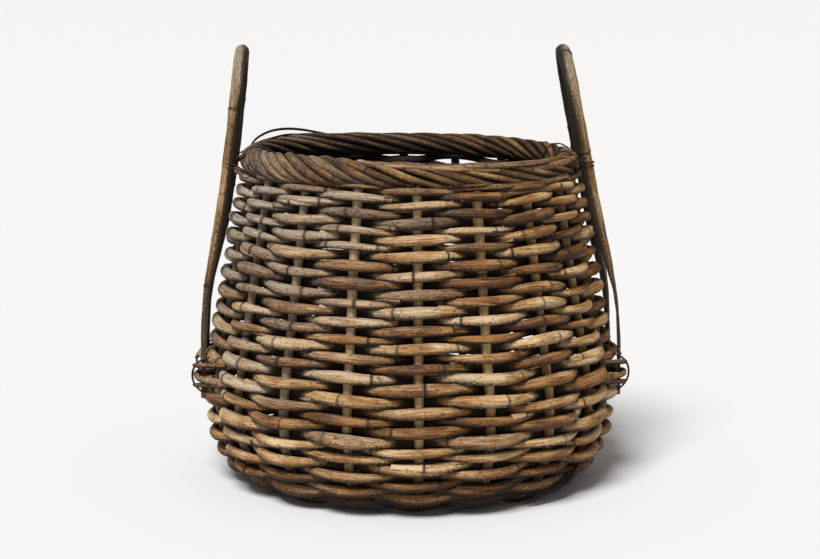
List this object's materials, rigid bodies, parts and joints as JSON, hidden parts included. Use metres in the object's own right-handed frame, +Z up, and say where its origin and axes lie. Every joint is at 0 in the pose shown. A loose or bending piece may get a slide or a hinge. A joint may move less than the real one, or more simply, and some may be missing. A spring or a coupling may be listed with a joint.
{
  "type": "log basket",
  "caption": "Round belly-sided log basket woven from rattan rods, with a roped border and two fixed upright hoop handles.",
  "frame": {"origin": "on the floor at the middle of the base", "axes": "+Z up; -Y is the front; the two handles stand at -X and +X"},
  "size_m": [0.5426, 0.4988, 0.52],
  "materials": {
    "rattan_rod": "weathered, dull",
    "rattan_weaver": "weathered, slightly worn smooth",
    "rattan_border": "weathered, slightly worn smooth",
    "handle_cane": "weathered, worn smooth where it is held",
    "tie_wire": "rusted iron wire"
  },
  "bodies": {
    "root": {"base_weavers_inner": "rattan_weaver", "base_weavers_outer": "rattan_weaver", "border_strand_1": "rattan_border", "border_strand_2": "rattan_border", "border_strand_3": "rattan_border", "border_strand_4": "rattan_border", "border_strand_5": "rattan_border", "border_strand_6": "rattan_border", "handle_left": "handle_cane", "handle_right": "handle_cane", "rim_ties_left": "tie_wire", "rim_ties_right": "tie_wire", "stake_rod_1": "rattan_rod", "stake_rod_2": "rattan_rod", "stake_rod_3": "rattan_rod", "stake_rod_4": "rattan_rod", "stake_rod_5": "rattan_rod", "stake_rod_6": "rattan_rod", "stake_rod_7": "rattan_rod", "stake_rod_8": "rattan_rod", "stake_rod_9": "rattan_rod", "weaver_01": "rattan_weaver", "weaver_02": "rattan_weaver", "weaver_03": "rattan_weaver", "weaver_04": "rattan_weaver", "weaver_05": "rattan_weaver", "weaver_06": "rattan_weaver", "weaver_07": "rattan_weaver", "weaver_08": "rattan_weaver", "weaver_09": "rattan_weaver", "weaver_10": "rattan_weaver", "weaver_11": "rattan_weaver", "weaver_12": "rattan_weaver", "weaver_13": "rattan_weaver", "weaver_14": "rattan_weaver", "weaver_15": "rattan_weaver", "weaver_16": "rattan_weaver", "weaver_17": "rattan_weaver", "weaver_18": "rattan_weaver", "weaver_19": "rattan_weaver", "weaver_20": "rattan_weaver", "weaver_21": "rattan_weaver", "weaver_22": "rattan_weaver", "weaver_23": "rattan_weaver", "weaver_24": "rattan_weaver", "weaver_25": "rattan_weaver", "weaver_26": "rattan_weaver", "weaver_27": "rattan_weaver", "weaver_28": "rattan_weaver", "weaver_29": "rattan_weaver", "weaver_30": "rattan_weaver", "weaver_31": "rattan_weaver", "weaver_32": "rattan_weaver", "weaver_33": "rattan_weaver", "weaver_34": "rattan_weaver", "weaver_35": "rattan_weaver", "weaver_36": "rattan_weaver"}
  },
  "joints": []
}
